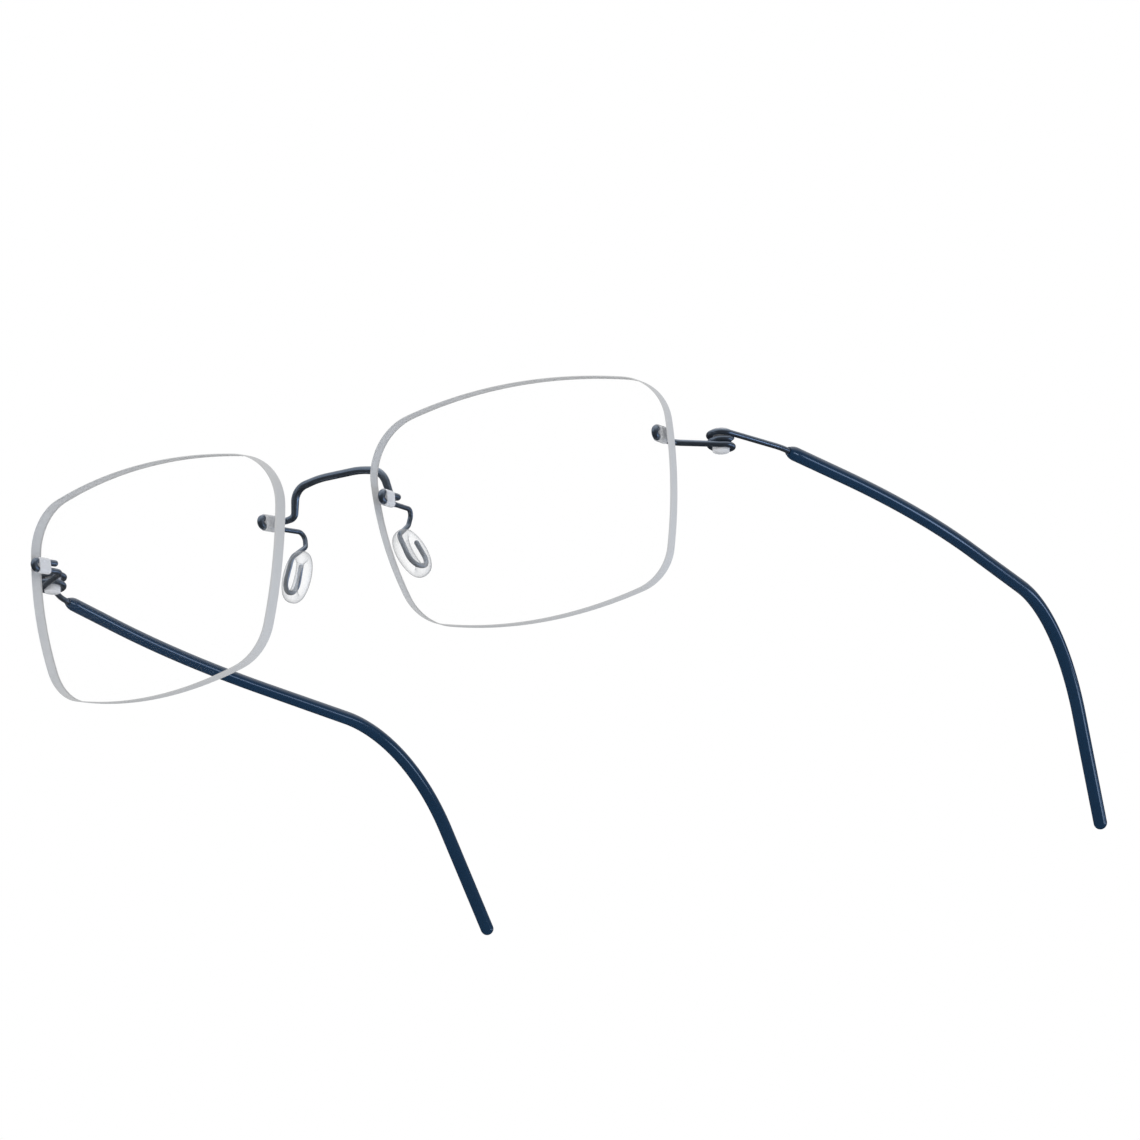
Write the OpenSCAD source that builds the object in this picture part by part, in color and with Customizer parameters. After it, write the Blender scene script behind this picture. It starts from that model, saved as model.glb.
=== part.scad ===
// Rimless eyeglasses of bent titanium wire, with clear lens bushes, silicone nose pads,
// screwless coil hinges and soft temple sleeves. Millimetres, +Z up, the front faces -Y.
// They stand on the lower lens edges and the temple tips, with both temples open.
// Shapes are laid out from the bridge, and the whole part is then moved to its origin:
// the middle of the footprint, on the surface that it stands on.

/* [Lenses] */
// Width of a lens
lens_w = 52.4; // [46:0.2:58]
// Height of a lens
lens_h = 38.4; // [34:0.2:42]
// Thickness of a lens
lens_t = 2.5; // [1.8:0.1:3]
// Radius of the lens front surface
lens_base = 147; // [90:1:300]
// Middle of the right lens, from the bridge plane
lens_centre = [35.16, 1.07, -3.19]; // [-5:0.01:40]
// Angle by which the outer side of a lens turns back
wrap = 5.6; // [0:0.1:9]
// Angle by which the top of a lens leans forward
lean = 10.5; // [0:0.1:14]
// Upper nasal corner: sideways inset, height inset, radius
corner_top_nasal = [0, 1.94, 9.4]; // [0:0.01:14]
// Upper outer corner: sideways inset, height inset, radius
corner_top_outer = [0.24, 1.66, 8.4]; // [0:0.01:14]
// Lower outer corner: sideways inset, height inset, radius
corner_low_outer = [1.4, 2.3, 8.0]; // [0:0.01:14]
// Lower nasal corner: sideways inset, height inset, radius
corner_low_nasal = [3.8, 1.46, 9.85]; // [0:0.01:14]
// Bow radius of the top, outer, lower and nasal sides
side_bow = [92, 67, 68, 64]; // [50:1:200]

/* [Lens mounts] */
// Nasal mount, sideways and up from the middle of the lens
nasal_mount = [-23.7, 4.55]; // [-25:0.05:12]
// Outer mount, sideways and up from the middle of the lens
outer_mount = [24.4, 7.5]; // [0:0.05:25]
// Distance between the two legs of a hairpin
leg_pitch = 1.36; // [1.3:0.02:1.6]
// Diameter of the hairpin legs
leg_d = 1.1; // [0.9:0.05:1.2]
// Wall of the clear bush round the legs
bush_wall = 0.12; // [0.1:0.01:0.3]
// How far the rounded stub stands out behind the lens
stub_len = 2.6; // [1:0.1:3]

/* [Bridge and pad arms] */
// Diameter of the bridge wire
bridge_d = 1.25; // [1:0.05:1.5]
// Diameter of the pad arms
arm_d = 0.8; // [0.7:0.05:1]
// Where the level crown of the bridge starts to fall
bridge_crown = [3.8, 4.3, 9.1]; // [-2:0.05:12]
// Shoulder of the bridge
bridge_shoulder = [8.3, 4.2, 8.15]; // [2:0.05:12]
// Foot of the bridge, behind the nasal mount
bridge_foot = [9.25, 5.5, 3.8]; // [2:0.05:12]
// Rear turn of the pad arm
arm_rear = [10.35, 10.1, 2.85]; // [0:0.05:14]
// Lower turn of the pad arm
arm_low = [9.85, 9.75, 0.15]; // [-3:0.05:14]

/* [Nose pads] */
// Middle of the right pad
pad_centre = [11.0, 9.1, -4.95]; // [-10:0.05:14]
// Length of a pad
pad_len = 8.7; // [8:0.1:14]
// Width of a pad
pad_wid = 7.2; // [5:0.1:8]
// Thickness of a pad
pad_t = 2.5; // [1.6:0.1:3]
// Length of the slot through a pad
pad_slot = 4.6; // [3:0.1:6]
// Width of the slot through a pad
pad_slot_w = 0.9; // [0.5:0.1:1.5]

/* [Hinges] */
// Hinge axis, sideways and back from the bridge plane
hinge_xy = [64.35, 15.65]; // [12:0.05:70]
// Diameter of the coil wire and of the temple wire
hinge_wire_d = 0.95; // [0.8:0.05:1.1]
// Radius of the hinge bush
bush_r = 1.36; // [1.2:0.01:1.6]
// Radial running clearance of the temple eye on the bush
run_gap = 0.05; // [0.02:0.01:0.1]
// Height at which the coil starts
coil_z = 4.7; // [4:0.05:6]

/* [Temples] */
// Diameter of a sleeve at its front
sleeve_d = 2.25; // [2:0.05:3]
// Diameter of a sleeve behind the ear
tip_d = 2.35; // [2:0.05:3]
// Front end of the sleeve
sleeve_mouth = [69.78, 27.6, 7.05]; // [5:0.05:75]
// Middle of the outward bow of the temple
temple_bow = [72.6, 66, 8.3]; // [5:0.05:75]
// Corner of the ear bend
ear_corner = [66.2, 128.9, 10.3]; // [5:0.05:135]
// Middle of the rounded tip
temple_tip = [62.35, 150.1, -20.64]; // [-25:0.05:155]
// Radius of the ear bend
ear_bend = 33; // [25:1:40]

/* [Hidden] */
$fn = 48;
bow_error = 0.01;        // how far a bend's steps may cut inside its true curve
fit = 0.02;              // clearance of pieces that are assembled and don't move
lift = 21.814;           // from the bridge frame up to the standing surface
mid_y = 74.728;          // from the bridge frame to the middle of the footprint
sphere_fn = 360;
arc_steps = 10;
coil_r = bush_r + fit + hinge_wire_d/2;
eye_r = bush_r + run_gap + hinge_wire_d/2;
coil_rise = hinge_wire_d + 0.02;
coil_turns = 1.15;
eye_z = coil_z + coil_rise*coil_turns + hinge_wire_d + 0.06;
steel_blue = [0.30, 0.36, 0.44];
navy = [0.05, 0.12, 0.24];
clear_grey = [0.78, 0.80, 0.82];
silicone = [0.90, 0.92, 0.94];
lens_tint = [0.85, 0.90, 0.93, 0.35];

// Name of every sub-part

// ---- Vectors and frames ----

function unit(v) = v/norm(v);
function flip(p) = [-p[0], p[1], p[2]];

module on_axes(origin, x, y, z) {
    multmatrix([
        [x[0], y[0], z[0], origin[0]],
        [x[1], y[1], z[1], origin[1]],
        [x[2], y[2], z[2], origin[2]],
        [0, 0, 0, 1]
    ]) children();
}

// ---- A bent wire: a path is a list of [point, bend radius, diameter] ----

function heading(path, i) = unit(path[i + 1][0] - path[i][0]);
function turn(path, i) = acos(min(1, heading(path, i - 1)*heading(path, i)));
function bent(path, i) = i > 0 && i < len(path) - 1 && path[i][1] > 0;
function cut(path, i) = bent(path, i) ? path[i][1]*tan(turn(path, i)/2) : 0;
function bend_step(r) = 2*acos(1 - bow_error/r);

function bend_stations(path, i) =
    let (
        r = path[i][1],
        a = heading(path, i - 1),
        b = heading(path, i),
        sweep = turn(path, i),
        inward = unit(b - a*(a*b)),
        start = path[i][0] - a*cut(path, i),
        steps = max(2, ceil(sweep/bend_step(r)))
    )
    [
        for (s = [0:steps])
            let (t = sweep*s/steps)
            [start + inward*r*(1 - cos(t)) + a*r*sin(t), path[i][2]]
    ];

function all_stations(path) = [
    for (i = [0:len(path) - 1])
        each bent(path, i) ? bend_stations(path, i) : [[path[i][0], path[i][2]]]
];

// Points along the wire with the diameter there, without repeats
function stations(path) =
    let (all = all_stations(path))
    [for (i = [0:len(all) - 1]) if (i == 0 || norm(all[i][0] - all[i - 1][0]) > 0.01) all[i]];

function step_dir(s, i) = i < 0 || i > len(s) - 2 ? [0, 0, 0] : unit(s[i + 1][0] - s[i][0]);
function tangents(s) = [for (i = [0:len(s) - 1]) unit(step_dir(s, i - 1) + step_dir(s, i))];

// Normals that are carried along the tangents t without twisting
function carried(t) =
    let (side = unit(cross(t[0], abs(t[0][2]) < 0.9 ? [0, 0, 1] : [1, 0, 0])))
    [for (i = 0, n = side; i < len(t); i = i + 1, n = i < len(t) ? unit(n - t[i]*(n*t[i])) : n) n];

function ring(s, t, n, i, r, ahead, sides) = [
    for (j = [0:sides - 1])
        let (a = 360*j/sides)
        s[i][0] + t[i]*ahead + n[i]*r*cos(a) + cross(t[i], n[i])*r*sin(a)
];

// A wire or tube in one skin. A round start or end is a half ball. A bore runs from the
// start to the last station but one.
module swept(path, sides = 12, round_start = false, round_end = false, bore = 0) {
    s = stations(path);
    t = tangents(s);
    n = carried(t);
    last = len(s) - 1;
    ball_steps = [80, 55, 28];
    start_r = s[0][1]/2;
    end_r = s[last][1]/2;
    head = round_start ? [for (a = ball_steps) [0, start_r*cos(a), -start_r*sin(a)]] : [];
    hole = bore > 0 ? [for (i = [last - 1:-1:0]) [i, bore/2, 0]] : [];
    outside = [for (i = [0:last]) [i, s[i][1]/2, 0]];
    tail = round_end ? [for (k = [2:-1:0]) [last, end_r*cos(ball_steps[k]), end_r*sin(ball_steps[k])]] : [];
    rings = concat(head, hole, outside, tail);
    count = len(rings);
    skin = [for (q = rings) each ring(s, t, n, q[0], q[1], q[2], sides)];
    first = s[rings[0][0]][0] + t[rings[0][0]]*rings[0][2];
    final = s[last][0] + t[last]*rings[count - 1][2];
    walls = [
        for (i = [0:count - 2])
            for (j = [0:sides - 1])
                let (k = (j + 1)%sides)
                each [
                    [i*sides + j, (i + 1)*sides + k, i*sides + k],
                    [i*sides + j, (i + 1)*sides + j, (i + 1)*sides + k]
                ]
    ];
    ends = [
        for (j = [0:sides - 1])
            let (k = (j + 1)%sides)
            each [
                [count*sides, j, k],
                [count*sides + 1, (count - 1)*sides + k, (count - 1)*sides + j]
            ]
    ];
    polyhedron(concat(skin, [first, final]), concat(walls, ends), convexity = 6);
}

// ---- Lens ----

// Corner circles clockwise from the upper nasal one: [x, z, radius]
corners = [
    [-lens_w/2 + corner_top_nasal[0] + corner_top_nasal[2],
     lens_h/2 - corner_top_nasal[1] - corner_top_nasal[2], corner_top_nasal[2]],
    [lens_w/2 - corner_top_outer[0] - corner_top_outer[2],
     lens_h/2 - corner_top_outer[1] - corner_top_outer[2], corner_top_outer[2]],
    [lens_w/2 - corner_low_outer[0] - corner_low_outer[2],
     -lens_h/2 + corner_low_outer[1] + corner_low_outer[2], corner_low_outer[2]],
    [-lens_w/2 + corner_low_nasal[0] + corner_low_nasal[2],
     -lens_h/2 + corner_low_nasal[1] + corner_low_nasal[2], corner_low_nasal[2]]
];

// Centre of the side arc that touches the corner circles p and q
function bow_centre(p, q, bow) =
    let (
        a = bow - p[2],
        b = bow - q[2],
        span = [q[0] - p[0], q[1] - p[1]],
        e = unit(span),
        along = (a*a - b*b + span*span)/(2*norm(span)),
        across = sqrt(a*a - along*along)
    )
    [p[0] + e[0]*along + e[1]*across, p[1] + e[1]*along - e[0]*across];

function angle_of(v) = atan2(v[1], v[0]);
function below(a, limit) = a > limit ? below(a - 360, limit) : a;
function arc(centre, r, from, to) = [
    for (s = [0:arc_steps - 1])
        let (t = from + (to - from)*s/arc_steps)
        [centre[0] + r*cos(t), centre[1] + r*sin(t)]
];

function side_and_corner(i) =
    let (
        p = corners[i],
        q = corners[(i + 1)%4],
        c = bow_centre(p, q, side_bow[i]),
        next = bow_centre(q, corners[(i + 2)%4], side_bow[(i + 1)%4]),
        from = angle_of([p[0] - c[0], p[1] - c[1]]),
        mid = below(angle_of([q[0] - c[0], q[1] - c[1]]), from),
        to = below(angle_of([q[0] - next[0], q[1] - next[1]]), mid)
    )
    concat(arc(c, side_bow[i], from, mid), arc([q[0], q[1]], q[2], mid, to));

lens_outline = [for (i = [0:3]) each side_and_corner(i)];

lens_x = [cos(wrap), sin(wrap), 0];
lens_back = [-sin(wrap)*cos(lean), cos(wrap)*cos(lean), sin(lean)];
lens_up = cross(lens_x, lens_back);

function sag(m) = (m*m)/(2*lens_base);

// Point of the lens frame: m sideways and up, depth behind the front surface there
function at_lens(m, depth) =
    lens_centre + m[0]*lens_x + m[1]*lens_up + (sag(m) + depth)*lens_back;

module slot_shape(r) {
    for (s = [-1, 1])
        translate([0, s*leg_pitch/2])
            circle(r = r);
    square([2*r, leg_pitch], center = true);
}

// Stands a flat shape upright on a mount, its thickness running back from the depth given
module on_mount(m, depth, thick) {
    on_axes(at_lens(m, depth), lens_x, lens_up, -lens_back)
        translate([0, 0, -thick])
            linear_extrude(height = thick)
                children();
}

module lens() {
    hole_r = leg_d/2 + fit + bush_wall + fit;
    difference() {
        on_axes(lens_centre, lens_x, lens_back, lens_up)
            intersection() {
                translate([0, 12, 0])
                    rotate([90, 0, 0])
                        linear_extrude(height = 16)
                            polygon(lens_outline);
                translate([0, lens_base, 0])
                    difference() {
                        sphere(r = lens_base, $fn = sphere_fn);
                        sphere(r = lens_base - lens_t, $fn = sphere_fn);
                    }
            }
        for (m = [nasal_mount, outer_mount])
            on_mount(m, -2, lens_t + 4)
                slot_shape(hole_r);
    }
}

module lens_bush(m) {
    on_mount(m, -0.02, lens_t + 0.25)
        difference() {
            slot_shape(leg_d/2 + fit + bush_wall);
            for (s = [-1, 1])
                translate([0, s*leg_pitch/2])
                    circle(r = leg_d/2 + fit);
        }
}

// ---- Hairpins: both legs and the turn that shows on the lens front ----

function leg(m, side, depth) = at_lens([m[0], m[1] + side*leg_pitch/2], depth);
turn_depth = -leg_pitch/2 - 0.12;
function hairpin(m) = [
    [leg(m, 1, lens_t + 0.4), 0, leg_d],
    [leg(m, 1, turn_depth), leg_pitch/2, leg_d],
    [leg(m, -1, turn_depth), leg_pitch/2, leg_d]
];

// ---- Bridge, pad arms and pad loops, one wire ----

pad_down = unit([3.2, 1.6, -7.7]);
pad_wide = unit([0.1, 0.98, 0.24] - pad_down*([0.1, 0.98, 0.24]*pad_down));
pad_face = unit(cross(pad_wide, pad_down))*-1;
loop_off = 0.6;

// Point of a pad: along its length, across it, and out towards the lens
function at_pad(down, wide, out) =
    pad_centre + down*pad_down + wide*pad_wide - out*nose_side*pad_face;
nose_side = pad_face[0] < 0 ? 1 : -1;

pad_loop = [
    [at_pad(-3.0, -2.1, loop_off), 1.2, arm_d],
    [at_pad(2.75, -2.5, loop_off), 2.1, arm_d],
    [at_pad(2.75, 2.3, loop_off), 1.8, arm_d],
    [at_pad(-1.7, 1.7, loop_off), 0, arm_d]
];

crown_end = [1.5, bridge_crown[1], bridge_crown[2]];
bridge_half = concat(
    [
        [crown_end, 0, bridge_d],
        [bridge_crown, 14, bridge_d],
        [bridge_shoulder, 3.0, bridge_d*1.04],
        [bridge_foot, 1.1, bridge_d*0.94],
        [leg(nasal_mount, 1, lens_t + 3.0), 1.0, leg_d]
    ],
    hairpin(nasal_mount),
    [
        [leg(nasal_mount, -1, lens_t + 0.5), 0, leg_d],
        [leg(nasal_mount, -1, lens_t + 1.8), 0, arm_d],
        [arm_rear, 1.2, arm_d],
        [arm_low, 1.0, arm_d]
    ],
    pad_loop
);

function mirrored(path) = [
    for (i = [len(path) - 1:-1:0])
        [flip(path[i][0]), path[i][1], path[i][2]]
];

// ---- Nose pad: a soft oval ring with a slot ----

pad_rings = 28;
pad_sides = 12;

function pad_point(i, j) =
    let (
        t = 360*i/pad_rings,
        s = 360*j/pad_sides,
        half_len = (pad_len + pad_slot)/4,
        half_wid = (pad_wid + pad_slot_w)/4,
        out = unit([cos(t)/half_len, sin(t)/half_wid]),
        band = (pad_len - pad_slot)/4*pow(cos(t), 2) + (pad_wid - pad_slot_w)/4*pow(sin(t), 2)
    )
    at_pad(half_len*cos(t) + band*cos(s)*out[0], half_wid*sin(t) + band*cos(s)*out[1], pad_t/2*sin(s));

module pad_ring() {
    points = [for (i = [0:pad_rings - 1]) for (j = [0:pad_sides - 1]) pad_point(i, j)];
    faces = [
        for (i = [0:pad_rings - 1])
            for (j = [0:pad_sides - 1])
                let (i2 = (i + 1)%pad_rings, j2 = (j + 1)%pad_sides)
                each [
                    [i*pad_sides + j, i*pad_sides + j2, i2*pad_sides + j2],
                    [i*pad_sides + j, i2*pad_sides + j2, i2*pad_sides + j]
                ]
    ];
    polyhedron(points, faces, convexity = 4);
}

// ---- Hinge: coil on the end piece, bush, and eye on the temple wire ----

// Angle at which a line from a point touches a circle round the hinge axis on its outer side
function touch_heading(p, r) =
    let (d = [hinge_xy[0] - p[0], hinge_xy[1] - p[1]])
    angle_of(d) - asin(r/norm(d));

function on_hinge(r, a, z) = [hinge_xy[0] + r*cos(a), hinge_xy[1] + r*sin(a), z];

endpiece_turn = leg(outer_mount, -1, lens_t + 3.6);
coil_start = touch_heading(endpiece_turn, coil_r) - 90;
coil_step = 9;

module endpiece_wire() {
    swept(
        concat(
            [[leg(outer_mount, 1, lens_t + stub_len - leg_d/2), 0, leg_d]],
            [for (i = [1:2]) hairpin(outer_mount)[i]],
            [
                [leg(outer_mount, -1, lens_t + 0.5), 0, leg_d],
                [endpiece_turn, 2, 1.0]
            ],
            [
                for (a = [0:coil_step:360*coil_turns])
                    [on_hinge(coil_r, coil_start + a, coil_z + coil_rise*a/360), 0, hinge_wire_d]
            ]
        ),
        round_start = true
    );
}

bush_low = coil_z - hinge_wire_d/2 - 0.15;
bush_top = eye_z + hinge_wire_d/2 + 0.05;
head_r = 1.6;
head_h = 0.32;
chamfer = 0.15;

module hinge_bush() {
    translate([hinge_xy[0], hinge_xy[1], bush_low]) {
        cylinder(h = chamfer, r1 = bush_r - chamfer, r2 = bush_r);
        translate([0, 0, chamfer])
            cylinder(h = bush_top - bush_low - chamfer + 0.1, r = bush_r);
        translate([0, 0, bush_top - bush_low])
            cylinder(h = head_h - chamfer, r = head_r);
        translate([0, 0, bush_top - bush_low + head_h - chamfer])
            cylinder(h = chamfer, r1 = head_r, r2 = head_r - chamfer);
    }
}

// ---- Temple ----

// Heading of the eye's tangent towards the sleeve, which leaves the eye on its outer side
eye_exit = let (d = [sleeve_mouth[0] - hinge_xy[0], sleeve_mouth[1] - hinge_xy[1]])
    angle_of(d) + asin(eye_r/norm(d)) - 90;
eye_sweep = 285;
sleeve_dir = unit(temple_bow - sleeve_mouth);
tip_dir = unit(temple_tip - ear_corner);
core_short = 12;
mouth_len = 1.3;

function temple_path(start, d_front, d_ear, finish) = concat(
    start,
    [[temple_bow, 260, d_front], [ear_corner, ear_bend, d_ear], [finish, 0, d_ear]]
);

eye_step = 9.5;
core_path = concat(
    [for (a = [-eye_sweep:eye_step:0]) [on_hinge(eye_r, eye_exit + a, eye_z), 0, hinge_wire_d]],
    temple_path(
        [[sleeve_mouth - sleeve_dir*2, 12, hinge_wire_d]],
        hinge_wire_d, hinge_wire_d, temple_tip - tip_dir*core_short
    )
);

module temple_wire() {
    swept(core_path);
}

module temple_sleeve() {
    swept(
        concat(
            [
                [sleeve_mouth, 0, hinge_wire_d + 0.35],
                [sleeve_mouth + sleeve_dir*mouth_len, 0, sleeve_d],
                [temple_bow, 260, sleeve_d],
                [ear_corner, ear_bend, tip_d],
                [temple_tip - tip_dir*(core_short - 0.1), 0, tip_d],
                [temple_tip, 0, tip_d]
            ]
        ),
        sides = 16, round_end = true, bore = hinge_wire_d + 4*fit
    );
}

// ---- Nodes ----

module placed(side) {
    translate([0, -mid_y, lift])
        mirror([side == "left" ? 1 : 0, 0, 0])
            children();
}

module lens_left() { color(lens_tint) placed("left") lens(); }
module lens_right() { color(lens_tint) placed("right") lens(); }
module bush_nasal_left() { color(clear_grey) placed("left") lens_bush(nasal_mount); }
module bush_nasal_right() { color(clear_grey) placed("right") lens_bush(nasal_mount); }
module bush_outer_left() { color(clear_grey) placed("left") lens_bush(outer_mount); }
module bush_outer_right() { color(clear_grey) placed("right") lens_bush(outer_mount); }

module bridge_wire() {
    color(steel_blue)
        placed("right")
            swept(concat(mirrored(bridge_half), bridge_half), round_start = true, round_end = true);
}

module nose_pad() { pad_ring(); }
module nose_pad_left() { color(silicone) placed("left") nose_pad(); }
module nose_pad_right() { color(silicone) placed("right") nose_pad(); }
module endpiece_wire_left() { color(steel_blue) placed("left") endpiece_wire(); }
module endpiece_wire_right() { color(steel_blue) placed("right") endpiece_wire(); }
module hinge_bush_left() { color(clear_grey) placed("left") hinge_bush(); }
module hinge_bush_right() { color(clear_grey) placed("right") hinge_bush(); }
module temple_wire_left() { color(steel_blue) placed("left") temple_wire(); }
module temple_wire_right() { color(steel_blue) placed("right") temple_wire(); }
module temple_sleeve_left() { color(navy) placed("left") temple_sleeve(); }
module temple_sleeve_right() { color(navy) placed("right") temple_sleeve(); }

lens_left();
lens_right();
bush_nasal_left();
bush_nasal_right();
bush_outer_left();
bush_outer_right();
bridge_wire();
nose_pad_left();
nose_pad_right();
endpiece_wire_left();
endpiece_wire_right();
hinge_bush_left();
hinge_bush_right();
temple_wire_left();
temple_wire_right();
temple_sleeve_left();
temple_sleeve_right();
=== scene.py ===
import math

import bmesh
import bpy
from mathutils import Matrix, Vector

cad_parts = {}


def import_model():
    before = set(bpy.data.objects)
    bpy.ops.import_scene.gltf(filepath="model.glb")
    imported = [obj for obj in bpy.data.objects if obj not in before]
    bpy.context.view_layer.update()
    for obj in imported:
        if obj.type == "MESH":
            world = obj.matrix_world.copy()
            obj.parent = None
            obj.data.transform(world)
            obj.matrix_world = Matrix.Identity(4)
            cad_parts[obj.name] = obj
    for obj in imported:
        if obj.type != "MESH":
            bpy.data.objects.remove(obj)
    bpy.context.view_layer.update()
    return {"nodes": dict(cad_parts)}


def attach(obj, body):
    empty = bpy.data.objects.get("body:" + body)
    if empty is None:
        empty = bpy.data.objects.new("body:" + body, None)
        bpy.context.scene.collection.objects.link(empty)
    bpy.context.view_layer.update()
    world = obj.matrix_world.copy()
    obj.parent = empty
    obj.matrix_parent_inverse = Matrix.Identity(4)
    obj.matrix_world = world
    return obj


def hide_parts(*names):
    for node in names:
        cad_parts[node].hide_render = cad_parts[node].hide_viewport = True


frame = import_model()
print("stage 1: frame loaded", sorted(frame["nodes"]))

mm = 0.001
toFootprint = Vector((0, -74.728, 21.814))  # from the bridge, where sizes are counted, to the row frame
sides = {"right": 1, "left": -1}


# places are in millimetres from the bridge, on the wearer's left; the other side mirrors them
def mirrored(p, side):
    return Vector((p[0] * sides[side], p[1], p[2]))


def toRow(p):
    return (Vector(p) + toFootprint) * mm


lens = {
    "width": 52.4, "height": 38.4, "thick": 2.5, "frontRadius": 147.0,
    "centre": Vector((35.16, 1.07, -3.19)), "wrap": 5.6, "lean": 10.5,
    "corners": [  # clockwise from the upper nasal one: sideways inset, height inset, radius
        (-1, 1, 0, 1.94, 9.4), (1, 1, 0.24, 1.66, 8.4), (1, -1, 1.4, 2.3, 8.0), (-1, -1, 3.8, 1.46, 9.85)],
    "bows": (92.0, 67.0, 68.0, 64.0), "bowSteps": 40, "cornerSteps": 22, "rings": 14,
    "chamfer": 0.16, "slotClear": 0.015,
}
mount = {
    "nasal": (-23.7, 4.55), "outer": (24.4, 7.5), "pitch": 1.36, "legDiameter": 1.1, "bushWall": 0.12,
    "clear": 0.02, "stub": 2.6, "turnDepth": -0.80,
}

wrapAngle, leanAngle = math.radians(lens["wrap"]), math.radians(lens["lean"])
lensX = Vector((math.cos(wrapAngle), math.sin(wrapAngle), 0))
lensBack = Vector((-math.sin(wrapAngle) * math.cos(leanAngle), math.cos(wrapAngle) * math.cos(leanAngle),
                   math.sin(leanAngle)))
lensUp = lensX.cross(lensBack)


def sag(u, v):
    return (u * u + v * v) / (2 * lens["frontRadius"])


def atLens(spot, depth):
    u, v = spot
    return lens["centre"] + lensX * u + lensUp * v + lensBack * (sag(u, v) + depth)


def leg(spot, upOrDown, depth):
    return atLens((spot[0], spot[1] + upOrDown * mount["pitch"] / 2), depth)


# a bent wire: its path is a list of (point, bend radius, diameter)
def bendStations(before, here, after, error):
    point, radius, diameter = here
    a = (point - before[0]).normalized()
    b = (after[0] - point).normalized()
    sweep = a.angle(b)
    inward = (b - a * a.dot(b)).normalized()
    start = point - a * radius * math.tan(sweep / 2)
    steps = max(3, math.ceil(sweep / (2 * math.acos(1 - error / radius))))
    angles = [sweep * s / steps for s in range(steps + 1)]
    return [(start + inward * radius * (1 - math.cos(t)) + a * radius * math.sin(t), diameter)
            for t in angles]


def stations(path, error=0.002):
    found = []
    for i, here in enumerate(path):
        if 0 < i < len(path) - 1 and here[1] > 0:
            found += bendStations(path[i - 1], here, path[i + 1], error)
        else:
            found.append((here[0], here[2]))
    return [s for i, s in enumerate(found) if i == 0 or (s[0] - found[i - 1][0]).length > 0.01]


def roundedEnd(spots, atStart):
    spots = list(reversed(spots)) if atStart else list(spots)
    tip, diameter = spots[-1]
    ahead = (tip - spots[-2][0]).normalized()
    for degrees in (12, 24, 36, 48, 60, 70, 79, 86, 89.5):
        a = math.radians(degrees)
        spots.append((tip + ahead * diameter / 2 * math.sin(a), max(0.02, diameter * math.cos(a))))
    return list(reversed(spots)) if atStart else spots


# shader maths: a socket whose operators add Math nodes
class Sock:
    def __init__(self, shade, socket):
        self.shade, self.socket = shade, socket

    def op(self, operation, *others):
        values = {i: (v.socket if isinstance(v, Sock) else v) for i, v in enumerate(others)}
        return self.shade.node("ShaderNodeMath", {"operation": operation}, values)

    def __add__(self, other): return self.op("ADD", self, other)
    def __radd__(self, other): return self.op("ADD", other, self)
    def __sub__(self, other): return self.op("SUBTRACT", self, other)
    def __rsub__(self, other): return self.op("SUBTRACT", other, self)
    def __mul__(self, other): return self.op("MULTIPLY", self, other)
    def __rmul__(self, other): return self.op("MULTIPLY", other, self)
    def __pow__(self, other): return self.op("POWER", self, other)


class Shade:
    def __init__(self, owner):
        owner.use_nodes = True
        self.tree = owner.node_tree
        self.tree.nodes.clear()

    def node(self, kind, settings=None, values=None, out=0):
        made = self.tree.nodes.new(kind)
        for key, value in (settings or {}).items():
            if key == "stops":
                ramp = made.color_ramp
                for i, (place, colour) in enumerate(value):
                    stop = ramp.elements[i] if i < len(ramp.elements) else ramp.elements.new(place)
                    stop.position, stop.color = place, colour
            else:
                setattr(made, key, value)
        for key, value in (values or {}).items():
            value = value.socket if isinstance(value, Sock) else value
            if isinstance(value, bpy.types.NodeSocket):
                self.tree.links.new(value, made.inputs[key])
            else:
                made.inputs[key].default_value = value
        return Sock(self, made.outputs[out])

    def noise(self, scale, detail=3.0):
        place = self.node("ShaderNodeTexCoord", out=3)
        return self.node("ShaderNodeTexNoise", {}, {"Vector": place, "Scale": scale, "Detail": detail})

    def mixed(self, factor, first, second):
        colours = {0: factor, 6: first, 7: second}
        return self.node("ShaderNodeMix", {"data_type": "RGBA"}, colours, out=2)

    def bump(self, height, strength, distance):
        values = {"Strength": strength, "Distance": distance, "Height": height}
        return self.node("ShaderNodeBump", {}, values)

    def surface(self, **values):
        sockets = {name.replace("_", " "): value for name, value in values.items()}
        shader = self.node("ShaderNodeBsdfPrincipled", {}, sockets)
        self.end("ShaderNodeOutputMaterial", shader)

    def end(self, kind, shader):
        self.tree.links.new(shader.socket, self.tree.nodes.new(kind).inputs["Surface"])


def newMaterial(name):
    material = bpy.data.materials.new(name)
    return material, Shade(material)


finish = {
    "wire": (0.195, 0.232, 0.285, 1), "wireDeep": (0.155, 0.188, 0.238, 1), "wireRough": 0.32,
    "sleeve": (0.0085, 0.030, 0.066, 1), "sleeveDeep": (0.006, 0.023, 0.053, 1), "sleeveRough": 0.17,
    "edge": (0.54, 0.54, 0.54, 1), "edgeDeep": (0.49, 0.495, 0.50, 1),
    # the lens's white face opacity is a painted reflection of the bright room, strongest where the face
    # turns away
    "lens": (1, 1, 1, 1), "lensFilm": (0.985, 0.992, 1, 1), "faceReflection": 0.004,
    "bush": (0.76, 0.77, 0.79, 1), "bushMilk": (0.70, 0.71, 0.74, 1),
    # the silicone's dark turned-away tone is painted shade along the pad's outline
    "silicone": (0.95, 0.96, 0.97, 1), "siliconeEdgeShade": (0.10, 0.105, 0.115, 1), "siliconeBody": 0.08,
}


def wireMaterial():  # blasted and anodised titanium: a fine satin grain with a slow change of blue
    material, shade = newMaterial("satinTitanium")
    slow, grain = shade.noise(180), shade.noise(9000, 2)
    shade.surface(Base_Color=shade.mixed(slow, finish["wire"], finish["wireDeep"]), Metallic=0.92,
                  Roughness=finish["wireRough"] + 0.14 * (grain - 0.5),
                  Normal=shade.bump(grain, 0.12, 0.00002))
    return material


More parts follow.
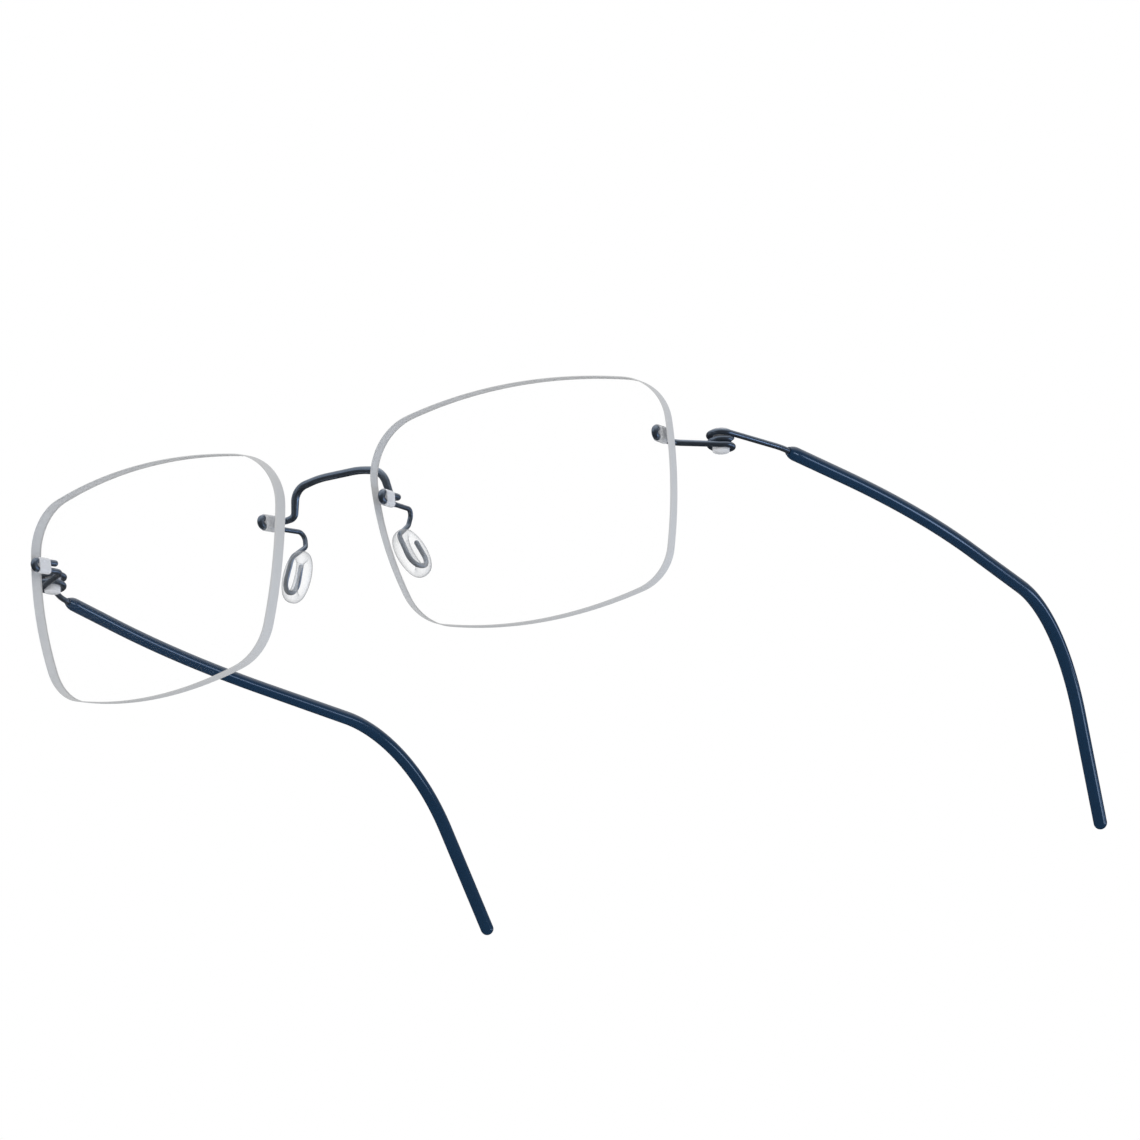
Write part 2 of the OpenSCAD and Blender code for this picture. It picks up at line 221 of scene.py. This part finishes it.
def sleeveMaterial():  # smooth navy plastic with a faint ripple from its mould
    material, shade = newMaterial("navySleeve")
    ripple, cloud = shade.noise(420), shade.noise(90)
    shade.surface(Base_Color=shade.mixed(cloud, finish["sleeve"], finish["sleeveDeep"]),
                  Roughness=finish["sleeveRough"] + 0.06 * (ripple - 0.5), Coat_Weight=0.2,
                  Coat_Roughness=0.08, Normal=shade.bump(ripple, 0.04, 0.00003))
    return material


def lensMaterial():  # clear coated lens faces: a painted reflection, a thin white opacity that grows where the face turns away
    material, shade = newMaterial("clearLens")
    film = shade.noise(40)
    turned = shade.node("ShaderNodeLayerWeight", {}, {"Blend": 0.5}, out=1)
    shade.surface(Base_Color=shade.mixed(film, finish["lens"], finish["lensFilm"]),
                  Roughness=0.02 + 0.01 * film, Alpha=finish["faceReflection"] + 0.8 * turned ** 5)
    return material


def edgeMaterial():  # ground and matt rim of the lens
    material, shade = newMaterial("groundEdge")
    grain, band = shade.noise(7000, 2), shade.noise(160)
    shade.surface(Base_Color=shade.mixed(band, finish["edge"], finish["edgeDeep"]), Specular_IOR_Level=0.2,
                  Roughness=0.55 + 0.2 * (grain - 0.5), Normal=shade.bump(grain, 0.15, 0.00002))
    return material


def bushMaterial():  # clear moulded plastic, a little milky
    material, shade = newMaterial("clearBush")
    milk = shade.noise(900)
    shade.surface(Base_Color=shade.mixed(milk, finish["bush"], finish["bushMilk"]),
                  Roughness=0.22 + 0.08 * milk, IOR=1.49, Transmission_Weight=0.15)
    return material


def siliconeMaterial():  # clear soft silicone: the wire shows through it, and painted shade greys it where it turns away
    material, shade = newMaterial("clearSilicone")
    skin = shade.noise(2200)
    turned = shade.node("ShaderNodeLayerWeight", {}, {"Blend": 0.4}, out=1)
    shade.surface(Base_Color=shade.mixed(turned, finish["silicone"], finish["siliconeEdgeShade"]),
                  Roughness=0.10 + 0.08 * skin, IOR=1.41,
                  Alpha=finish["siliconeBody"] + 0.85 * turned ** 1.4,
                  Normal=shade.bump(skin, 0.08, 0.00003))
    return material


materials = {
    "wire": wireMaterial(), "sleeve": sleeveMaterial(), "lens": lensMaterial(), "edge": edgeMaterial(),
    "bush": bushMaterial(), "silicone": siliconeMaterial(),
}
print("stage 2: materials made")


def newPiece(name, mesh, body, nodes):
    piece = bpy.data.objects.new(name, mesh)
    bpy.context.scene.collection.objects.link(piece)
    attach(piece, body)
    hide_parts(*nodes)
    return piece


def fromPoints(name, points, faces, material, smooth=True):
    mesh = bpy.data.meshes.new(name)
    mesh.from_pydata([tuple(p) for p in points], [], faces)
    mesh.materials.append(material)
    work = bmesh.new()
    work.from_mesh(mesh)
    bmesh.ops.remove_doubles(work, verts=work.verts, dist=1e-7)
    bmesh.ops.recalc_face_normals(work, faces=work.faces)
    work.to_mesh(mesh)
    work.free()
    if smooth:
        mesh.shade_smooth()
    return mesh


def sweepTree():  # a round skin along a path of edges, with the radius kept on its points
    tree = bpy.data.node_groups.new("wireSweep", "GeometryNodeTree")
    face = tree.interface
    face.new_socket("Geometry", in_out="INPUT", socket_type="NodeSocketGeometry")
    around = face.new_socket("Sides", in_out="INPUT", socket_type="NodeSocketInt")
    finishIn = face.new_socket("Finish", in_out="INPUT", socket_type="NodeSocketMaterial")
    face.new_socket("Geometry", in_out="OUTPUT", socket_type="NodeSocketGeometry")
    nodes, links = tree.nodes, tree.links
    start, end = nodes.new("NodeGroupInput"), nodes.new("NodeGroupOutput")
    curve, ring = nodes.new("GeometryNodeMeshToCurve"), nodes.new("GeometryNodeCurvePrimitiveCircle")
    radius = nodes.new("GeometryNodeInputNamedAttribute")
    skin, smooth = nodes.new("GeometryNodeCurveToMesh"), nodes.new("GeometryNodeSetShadeSmooth")
    real, paint = nodes.new("GeometryNodeRealizeInstances"), nodes.new("GeometryNodeSetMaterial")
    radius.data_type = "FLOAT"
    radius.inputs["Name"].default_value = "wireRadius"
    ring.inputs["Radius"].default_value = 1.0
    links.new(start.outputs["Geometry"], curve.inputs["Mesh"])
    links.new(start.outputs["Sides"], ring.inputs["Resolution"])
    links.new(curve.outputs["Curve"], skin.inputs["Curve"])
    links.new(ring.outputs["Curve"], skin.inputs["Profile Curve"])
    links.new(radius.outputs["Attribute"], skin.inputs["Scale"])
    skin.inputs["Fill Caps"].default_value = True
    links.new(skin.outputs["Mesh"], smooth.inputs["Geometry"])
    links.new(smooth.outputs["Geometry"], real.inputs["Geometry"])
    links.new(real.outputs["Geometry"], paint.inputs["Geometry"])
    links.new(start.outputs["Finish"], paint.inputs["Material"])
    links.new(paint.outputs["Geometry"], end.inputs["Geometry"])
    return tree, around.identifier, finishIn.identifier


wireSweep, sidesSocket, finishSocket = sweepTree()


def sweep(name, spots, material, around=32):
    mesh = bpy.data.meshes.new(name)
    mesh.from_pydata([tuple(toRow(p)) for p, _ in spots], [(i, i + 1) for i in range(len(spots) - 1)], [])
    radius = mesh.attributes.new("wireRadius", "FLOAT", "POINT")
    radius.data.foreach_set("value", [d / 2 * mm for _, d in spots])
    path = bpy.data.objects.new(name + "Path", mesh)
    bpy.context.scene.collection.objects.link(path)
    modifier = path.modifiers.new("wireSweep", "NODES")
    modifier.node_group = wireSweep
    modifier[sidesSocket] = around
    modifier[finishSocket] = material
    bpy.context.view_layer.update()
    made = bpy.data.meshes.new_from_object(path.evaluated_get(bpy.context.evaluated_depsgraph_get()))
    path.modifiers.remove(modifier)
    bpy.data.objects.remove(path)
    made.name = name
    if not made.materials:
        made.materials.append(material)
    work = bmesh.new()
    work.from_mesh(made)
    bmesh.ops.recalc_face_normals(work, faces=work.faces)
    work.to_mesh(made)
    work.free()
    return made


def cornerCircles():
    half = (lens["width"] / 2, lens["height"] / 2)
    return [(x * (half[0] - dx - r), z * (half[1] - dz - r), r) for x, z, dx, dz, r in lens["corners"]]


def bowCentre(p, q, bow):
    a, b = bow - p[2], bow - q[2]
    span = Vector((q[0] - p[0], q[1] - p[1]))
    e = span.normalized()
    along = (a * a - b * b + span.length_squared) / (2 * span.length)
    across = math.sqrt(a * a - along * along)
    return Vector((p[0] + e[0] * along + e[1] * across, p[1] + e[1] * along - e[0] * across))


def below(angle, limit):
    while angle > limit:
        angle -= 2 * math.pi
    return angle


def arcPoints(centre, radius, first, last, steps):
    angles = [first + (last - first) * s / steps for s in range(steps)]
    return [Vector((centre[0] + radius * math.cos(t), centre[1] + radius * math.sin(t))) for t in angles]


def lensOutline(inset):
    circles = cornerCircles()
    centres = [bowCentre(circles[i], circles[(i + 1) % 4], lens["bows"][i]) for i in range(4)]
    points = []
    for i in range(4):
        p, q, c, after = circles[i], circles[(i + 1) % 4], centres[i], centres[(i + 1) % 4]
        first = math.atan2(p[1] - c[1], p[0] - c[0])
        middle = below(math.atan2(q[1] - c[1], q[0] - c[0]), first)
        last = below(math.atan2(q[1] - after[1], q[0] - after[0]), middle)
        points += arcPoints(c, lens["bows"][i] - inset, first, middle, lens["bowSteps"])
        points += arcPoints(q, q[2] - inset, middle, last, lens["cornerSteps"])
    return points


def lensPoint(u, v, side, depth, front):
    r = lens["frontRadius"] if front else lens["frontRadius"] - lens["thick"]
    bowed = lens["frontRadius"] - math.sqrt(r * r - u * u - v * v)
    return toRow(mirrored(lens["centre"] + lensX * u + lensUp * v + lensBack * (bowed + depth), side))


def slotCutter(spot, side):
    r = mount["legDiameter"] / 2 + mount["clear"] + mount["bushWall"] + lens["slotClear"]
    n = 48
    angles = [2 * math.pi * (k + 0.5) / n for k in range(n)]
    loop = [(r * math.cos(a), math.copysign(mount["pitch"] / 2, math.sin(a)) + r * math.sin(a))
            for a in angles]
    points = [toRow(mirrored(atLens(spot, depth) + lensX * u + lensUp * v, side))
              for depth in (-3, 6) for u, v in loop]  # well in front of the lens, and well behind it
    faces = [(k, (k + 1) % n, n + (k + 1) % n, n + k) for k in range(n)]
    faces += [tuple(range(n)), tuple(range(2 * n - 1, n - 1, -1))]
    mesh = fromPoints("slotCutter", points, faces, materials["lens"], smooth=False)
    cutter = bpy.data.objects.new("slotCutter", mesh)
    bpy.context.scene.collection.objects.link(cutter)
    return cutter


def lensMesh(side):
    edge, rim = lensOutline(0), lensOutline(lens["chamfer"])
    n, points, rows = len(edge), [], []

    def addRow(outline, scale, depth, front):
        rows.append(len(points))
        points.extend(lensPoint(p[0] * scale, p[1] * scale, side, depth, front) for p in outline)

    scales = [(k + 1) / lens["rings"] for k in range(lens["rings"])]
    points.append(lensPoint(0, 0, side, 0, True))
    for s in scales:
        addRow(rim, s, 0, True)
    addRow(edge, 1, lens["chamfer"], True)
    addRow(edge, 1, -lens["chamfer"], False)
    for s in reversed(scales):
        addRow(rim, s, 0, False)
    points.append(lensPoint(0, 0, side, 0, False))
    faces, kinds = [], []
    for k in range(n):
        after = (k + 1) % n
        faces += [(0, rows[0] + k, rows[0] + after), (len(points) - 1, rows[-1] + after, rows[-1] + k)]
        kinds += [0, 0]
    rimRow = len(scales) - 1
    for i in range(len(rows) - 1):
        for k in range(n):
            after = (k + 1) % n
            faces.append((rows[i] + k, rows[i + 1] + k, rows[i + 1] + after, rows[i] + after))
            kinds.append(1 if rimRow <= i <= rimRow + 2 else 0)  # both chamfers and the edge between them
    mesh = bpy.data.meshes.new("lens" + side)
    mesh.from_pydata([tuple(p) for p in points], [], faces)
    mesh.materials.append(materials["lens"])
    mesh.materials.append(materials["edge"])
    mesh.polygons.foreach_set("material_index", kinds)
    work = bmesh.new()
    work.from_mesh(mesh)
    bmesh.ops.recalc_face_normals(work, faces=work.faces)
    work.to_mesh(mesh)
    work.free()
    return mesh


def drilled(mesh, side):
    blank = bpy.data.objects.new("lensBlank", mesh)
    bpy.context.scene.collection.objects.link(blank)
    for spot in (mount["nasal"], mount["outer"]):
        cutter = slotCutter(spot, side)
        cut = blank.modifiers.new("slot", "BOOLEAN")
        cut.operation, cut.solver, cut.object = "DIFFERENCE", "EXACT", cutter
        bpy.context.view_layer.update()
        made = bpy.data.meshes.new_from_object(blank.evaluated_get(bpy.context.evaluated_depsgraph_get()))
        blank.modifiers.remove(cut)
        blank.data = made
        bpy.data.objects.remove(cutter)
    bpy.data.objects.remove(blank)
    made.shade_smooth()
    made.set_sharp_from_angle(angle=math.radians(25))
    return made


for side in sides:
    newPiece("lens." + side, drilled(lensMesh(side), side), "front", ["lens_" + side])
print("stage 3: lenses ground and drilled")


def hairpin(spot):
    d = mount["legDiameter"]
    bend = mount["pitch"] / 2
    return [(leg(spot, 1, lens["thick"] + 0.4), 0, d), (leg(spot, 1, mount["turnDepth"]), bend, d),
            (leg(spot, -1, mount["turnDepth"]), bend, d)]


pad = {
    "centre": Vector((11.0, 9.1, -4.95)), "length": 8.7, "width": 7.2, "thick": 2.5, "slotLength": 4.6,
    "slotWidth": 0.9, "down": Vector((3.2, 1.6, -7.7)).normalized(), "armDiameter": 0.8, "loopDepth": 0.6,
}
padWide = Vector((0.1, 0.98, 0.24))
padWide = (padWide - pad["down"] * padWide.dot(pad["down"])).normalized()
padOut = padWide.cross(pad["down"]).normalized()
padOut = padOut if padOut[0] > 0 else -padOut  # away from the nose, towards the lens


def atPad(down, wide, out):
    return pad["centre"] + pad["down"] * down + padWide * wide + padOut * out


bridge = {
    "diameter": 1.25, "crownEnd": 1.5, "crown": Vector((3.8, 4.3, 9.1)),
    "shoulder": Vector((8.3, 4.2, 8.15)), "foot": Vector((9.25, 5.5, 3.8)),
    "armRear": Vector((10.35, 10.1, 2.85)), "armLow": Vector((9.85, 9.75, 0.15)),
}


def bridgeHalf():
    d, arm, nasal, thick = bridge["diameter"], pad["armDiameter"], mount["nasal"], lens["thick"]
    legWire, deep, crown = mount["legDiameter"], pad["loopDepth"], bridge["crown"]
    return [
        (Vector((bridge["crownEnd"], crown[1], crown[2])), 0, d), (crown, 14, d),
        (bridge["shoulder"], 3.0, d * 1.04), (bridge["foot"], 1.1, d * 0.94),
        (leg(nasal, 1, thick + 3.0), 1.0, legWire), *hairpin(nasal),
        (leg(nasal, -1, thick + 0.5), 0, legWire), (leg(nasal, -1, thick + 1.8), 0, arm),
        (bridge["armRear"], 1.2, arm), (bridge["armLow"], 1.0, arm),
        (atPad(-3.0, -2.1, deep), 1.2, arm), (atPad(2.75, -2.5, deep), 2.1, arm),
        (atPad(2.75, 2.3, deep), 1.8, arm), (atPad(-1.7, 1.7, deep), 0, arm)]


half = bridgeHalf()
whole = [(mirrored(p, "left"), r, d) for p, r, d in reversed(half)] + half
spots = roundedEnd(roundedEnd(stations(whole), False), True)
newPiece("bridgeWire", sweep("bridgeWire", spots, materials["wire"]), "front", ["bridge_wire"])

hinge = {
    "x": 64.35, "y": 15.65, "wire": 0.95, "bushRadius": 1.36, "runGap": 0.05, "coilStart": 4.7,
    "coilTurns": 1.15, "coilSteps": 92, "eyeSweep": 285.0, "eyeSteps": 80, "headRadius": 1.6,
    "headHeight": 0.32,
}
coilRadius = hinge["bushRadius"] + mount["clear"] + hinge["wire"] / 2
eyeRadius = hinge["bushRadius"] + hinge["runGap"] + hinge["wire"] / 2
coilRise = hinge["wire"] + 0.02
eyeHeight = hinge["coilStart"] + coilRise * hinge["coilTurns"] + hinge["wire"] + 0.06


def onHinge(radius, degrees, z):
    a = math.radians(degrees)
    return Vector((hinge["x"] + radius * math.cos(a), hinge["y"] + radius * math.sin(a), z))


def endpiecePath():
    outer, thick, d = mount["outer"], lens["thick"], mount["legDiameter"]
    bend = leg(outer, -1, thick + 3.6)
    toHinge = Vector((hinge["x"] - bend[0], hinge["y"] - bend[1]))
    start = math.degrees(math.atan2(toHinge[1], toHinge[0]) - math.asin(coilRadius / toHinge.length)) - 90
    turns = [hinge["coilTurns"] * k / hinge["coilSteps"] for k in range(hinge["coilSteps"] + 1)]
    coil = [(onHinge(coilRadius, start + 360 * t, hinge["coilStart"] + coilRise * t), 0, hinge["wire"])
            for t in turns]
    return [(leg(outer, 1, thick + mount["stub"] - d / 2), 0, d), *hairpin(outer)[1:],
            (leg(outer, -1, thick + 0.5), 0, d), (bend, 2, 1.0), *coil]


temple = {
    "sleeve": 2.25, "tipDiameter": 2.35, "mouth": Vector((69.78, 27.6, 7.05)),
    "bow": Vector((72.6, 66, 8.3)), "bowRadius": 260, "ear": Vector((66.2, 128.9, 10.3)), "earRadius": 33,
    "tip": Vector((62.35, 150.1, -20.64)), "coreShort": 12.0,
}
sleeveAhead = (temple["bow"] - temple["mouth"]).normalized()
tipAhead = (temple["tip"] - temple["ear"]).normalized()


def templeWirePath():
    toMouth = Vector((temple["mouth"][0] - hinge["x"], temple["mouth"][1] - hinge["y"]))
    leave = math.degrees(math.atan2(toMouth[1], toMouth[0]) + math.asin(eyeRadius / toMouth.length)) - 90
    d, steps = hinge["wire"], hinge["eyeSteps"]
    eye = [(onHinge(eyeRadius, leave - hinge["eyeSweep"] * (1 - k / steps), eyeHeight), 0, d)
           for k in range(steps + 1)]
    return [*eye, (temple["mouth"] - sleeveAhead * 2, 12, d), (temple["bow"], temple["bowRadius"], d),
            (temple["ear"], temple["earRadius"], d), (temple["tip"] - tipAhead * temple["coreShort"], 0, d)]


def sleevePath():
    d = temple["sleeve"]
    lip = [(0.0, 1.28), (0.12, 1.40), (0.45, 1.62), (0.9, 1.92), (1.35, 2.13), (1.9, d), (4.0, d)]
    front = [(temple["mouth"] + sleeveAhead * along, 0, wide) for along, wide in lip]
    return [*front, (temple["bow"], temple["bowRadius"], d),
            (temple["ear"], temple["earRadius"], temple["tipDiameter"]),
            (temple["tip"], 0, temple["tipDiameter"])]


def onSide(path, side):
    return [(mirrored(p, side), r, d) for p, r, d in path]


for side in sides:
    body = "temple_" + side
    coil = roundedEnd(stations(onSide(endpiecePath(), side)), True)
    newPiece("endpieceWire." + side, sweep("endpieceWire", coil, materials["wire"]), "front",
             ["endpiece_wire_" + side])
    wire = roundedEnd(stations(onSide(templeWirePath(), side)), True)
    newPiece("templeWire." + side, sweep("templeWire", wire, materials["wire"]), body,
             ["temple_wire_" + side])
    sleeve = roundedEnd(stations(onSide(sleevePath(), side)), False)
    newPiece("templeSleeve." + side, sweep("templeSleeve", sleeve, materials["sleeve"], 48), body,
             ["temple_sleeve_" + side])
print("stage 4: wires bent and sleeves fitted")


def padMesh(side, around=120, across=40):
    points = []
    halfLength = (pad["length"] + pad["slotLength"]) / 4
    halfWidth = (pad["width"] + pad["slotWidth"]) / 4
    for i in range(around):
        t = 2 * math.pi * i / around
        out = Vector((math.cos(t) / halfLength, math.sin(t) / halfWidth)).normalized()
        band = ((pad["length"] - pad["slotLength"]) / 4 * math.cos(t) ** 2
                + (pad["width"] - pad["slotWidth"]) / 4 * math.sin(t) ** 2)
        for j in range(across):
            s = 2 * math.pi * j / across
            wide = band * math.copysign(abs(math.cos(s)) ** 0.9, math.cos(s))
            deep = pad["thick"] / 2 * math.copysign(abs(math.sin(s)) ** 0.9, math.sin(s))
            points.append(toRow(mirrored(atPad(halfLength * math.cos(t) + wide * out[0],
                                               halfWidth * math.sin(t) + wide * out[1], deep), side)))
    faces = [(i * across + j, i * across + (j + 1) % across, (i + 1) % around * across + (j + 1) % across,
              (i + 1) % around * across + j) for i in range(around) for j in range(across)]
    return fromPoints("nosePad", points, faces, materials["silicone"])


def hingeBushMesh(side, around=64):
    low = hinge["coilStart"] - hinge["wire"] / 2 - 0.15
    top = eyeHeight + hinge["wire"] / 2 + 0.05
    r, head, h = hinge["bushRadius"], hinge["headRadius"], hinge["headHeight"]
    profile = [(r * 0.55, low), (r * 0.62, low + 0.06), (r - 0.12, low + 0.02), (r - 0.03, low + 0.06),
               (r, low + 0.15), (r, top), (head - 0.04, top), (head, top + 0.05), (head, top + h - 0.15),
               (head - 0.05, top + h - 0.05), (head - 0.16, top + h - 0.01), (head - 0.4, top + h)]
    points = [toRow(mirrored(onHinge(radius, 360 * k / around, z), side))
              for radius, z in profile for k in range(around)]
    rows = len(profile)
    faces = [(i * around + k, i * around + (k + 1) % around, (i + 1) * around + (k + 1) % around,
              (i + 1) * around + k) for i in range(rows - 1) for k in range(around)]
    faces += [tuple(range(around - 1, -1, -1)), tuple(range((rows - 1) * around, rows * around))]
    mesh = fromPoints("hingeBush", points, faces, materials["bush"])
    mesh.set_sharp_from_angle(angle=math.radians(50))
    return mesh


for side in sides:
    newPiece("nosePad." + side, padMesh(side), "front", ["nose_pad_" + side])
    newPiece("hingeBush." + side, hingeBushMesh(side), "front", ["hinge_bush_" + side])
    for spot in ("nasal", "outer"):
        node = frame["nodes"][f"bush_{spot}_{side}"]
        node.data.materials.clear()
        node.data.materials.append(materials["bush"])
print("stage 5: pads and bushes made")


studio = {
    "floorDrop": -0.60, "floorSize": 40.0,
    "room": [(0.0, (0.02, 0.022, 0.026, 1)), (0.5, (0.04, 0.044, 0.05, 1)), (0.68, (0.10, 0.11, 0.12, 1)),
             (0.78, (0.45, 0.47, 0.50, 1)), (0.95, (1.0, 1.0, 1.0, 1))],
    "lights": [  # name, place, width and height, watts, colour
        ("frontLight", (-0.45, -0.85, 0.38), (1.0, 0.35), 0.9, (0.9, 1.0, 1.12)),
        ("sleeveLight", (0.94, 1.30, -0.10), (0.7, 0.28), 1.25, (0.74, 1.0, 1.5)),
        ("tipLight", (1.34, 0.50, -0.38), (0.5, 0.36), 1.8, (0.74, 1.0, 1.4)),
        ("topLight", (0.0, 0.2, 1.3), (0.8, 0.6), 1.5, (1, 1, 1))],
}


def floorPiece():
    h, z = studio["floorSize"] / 2, studio["floorDrop"]  # well below: the camera looks up at the part
    mesh = bpy.data.meshes.new("floor")
    mesh.from_pydata([(-h, -h, z), (h, -h, z), (h, h, z), (-h, h, z)], [], [(0, 1, 2, 3)])
    floor = bpy.data.objects.new("floor", mesh)
    bpy.context.scene.collection.objects.link(floor)
    material, shade = newMaterial("paleFloor")
    shade.surface(Base_Color=(0.95, 0.95, 0.95, 1), Roughness=0.9)
    mesh.materials.append(material)
    floor.visible_glossy = False


def world():  # even white light, and for reflections a room that is dark below and bright above
    sky = bpy.data.worlds.new("studioWorld")
    bpy.context.scene.world = sky
    shade = Shade(sky)
    mirrorRay = shade.node("ShaderNodeLightPath", out=3)
    place = shade.node("ShaderNodeTexCoord")
    height = shade.node("ShaderNodeSeparateXYZ", {}, {0: place}, out=2)
    room = shade.node("ShaderNodeValToRGB", {"stops": studio["room"]}, {0: height * 0.5 + 0.5})
    colour = shade.mixed(mirrorRay, (1, 1, 1, 1), room)
    back = shade.node("ShaderNodeBackground", {}, {"Color": colour, "Strength": 1.0})
    shade.end("ShaderNodeOutputWorld", back)


def softbox(name, place, size, watts, colour):
    light = bpy.data.lights.new(name, "AREA")
    light.shape, light.size, light.size_y = "RECTANGLE", size[0], size[1]
    light.energy, light.color = watts, colour
    box = bpy.data.objects.new(name, light)
    bpy.context.scene.collection.objects.link(box)
    box.location = place
    box.rotation_euler = (-Vector(place)).to_track_quat("-Z", "Y").to_euler()
    box.visible_camera = False
    box.visible_transmission = False


floorPiece()
world()
for name, place, size, watts, colour in studio["lights"]:
    softbox(name, place, size, watts, colour)

view = {"place": (0.54232, -0.895538, -0.336786), "aim": (0.046044, -0.074728, 0.004781), "focal": 206.56}
camera = bpy.data.objects.new("camera", bpy.data.cameras.new("camera"))
bpy.context.scene.collection.objects.link(camera)
camera.location = view["place"]
camera.rotation_euler = (Vector(view["aim"]) - Vector(view["place"])).to_track_quat("-Z", "Y").to_euler()
camera.data.lens = view["focal"]
camera.data.sensor_width = 36
camera.data.clip_end = 20
bpy.context.scene.camera = camera
bpy.context.scene.view_settings.view_transform = "Standard"
print("stage 6: floor, lights and camera placed")
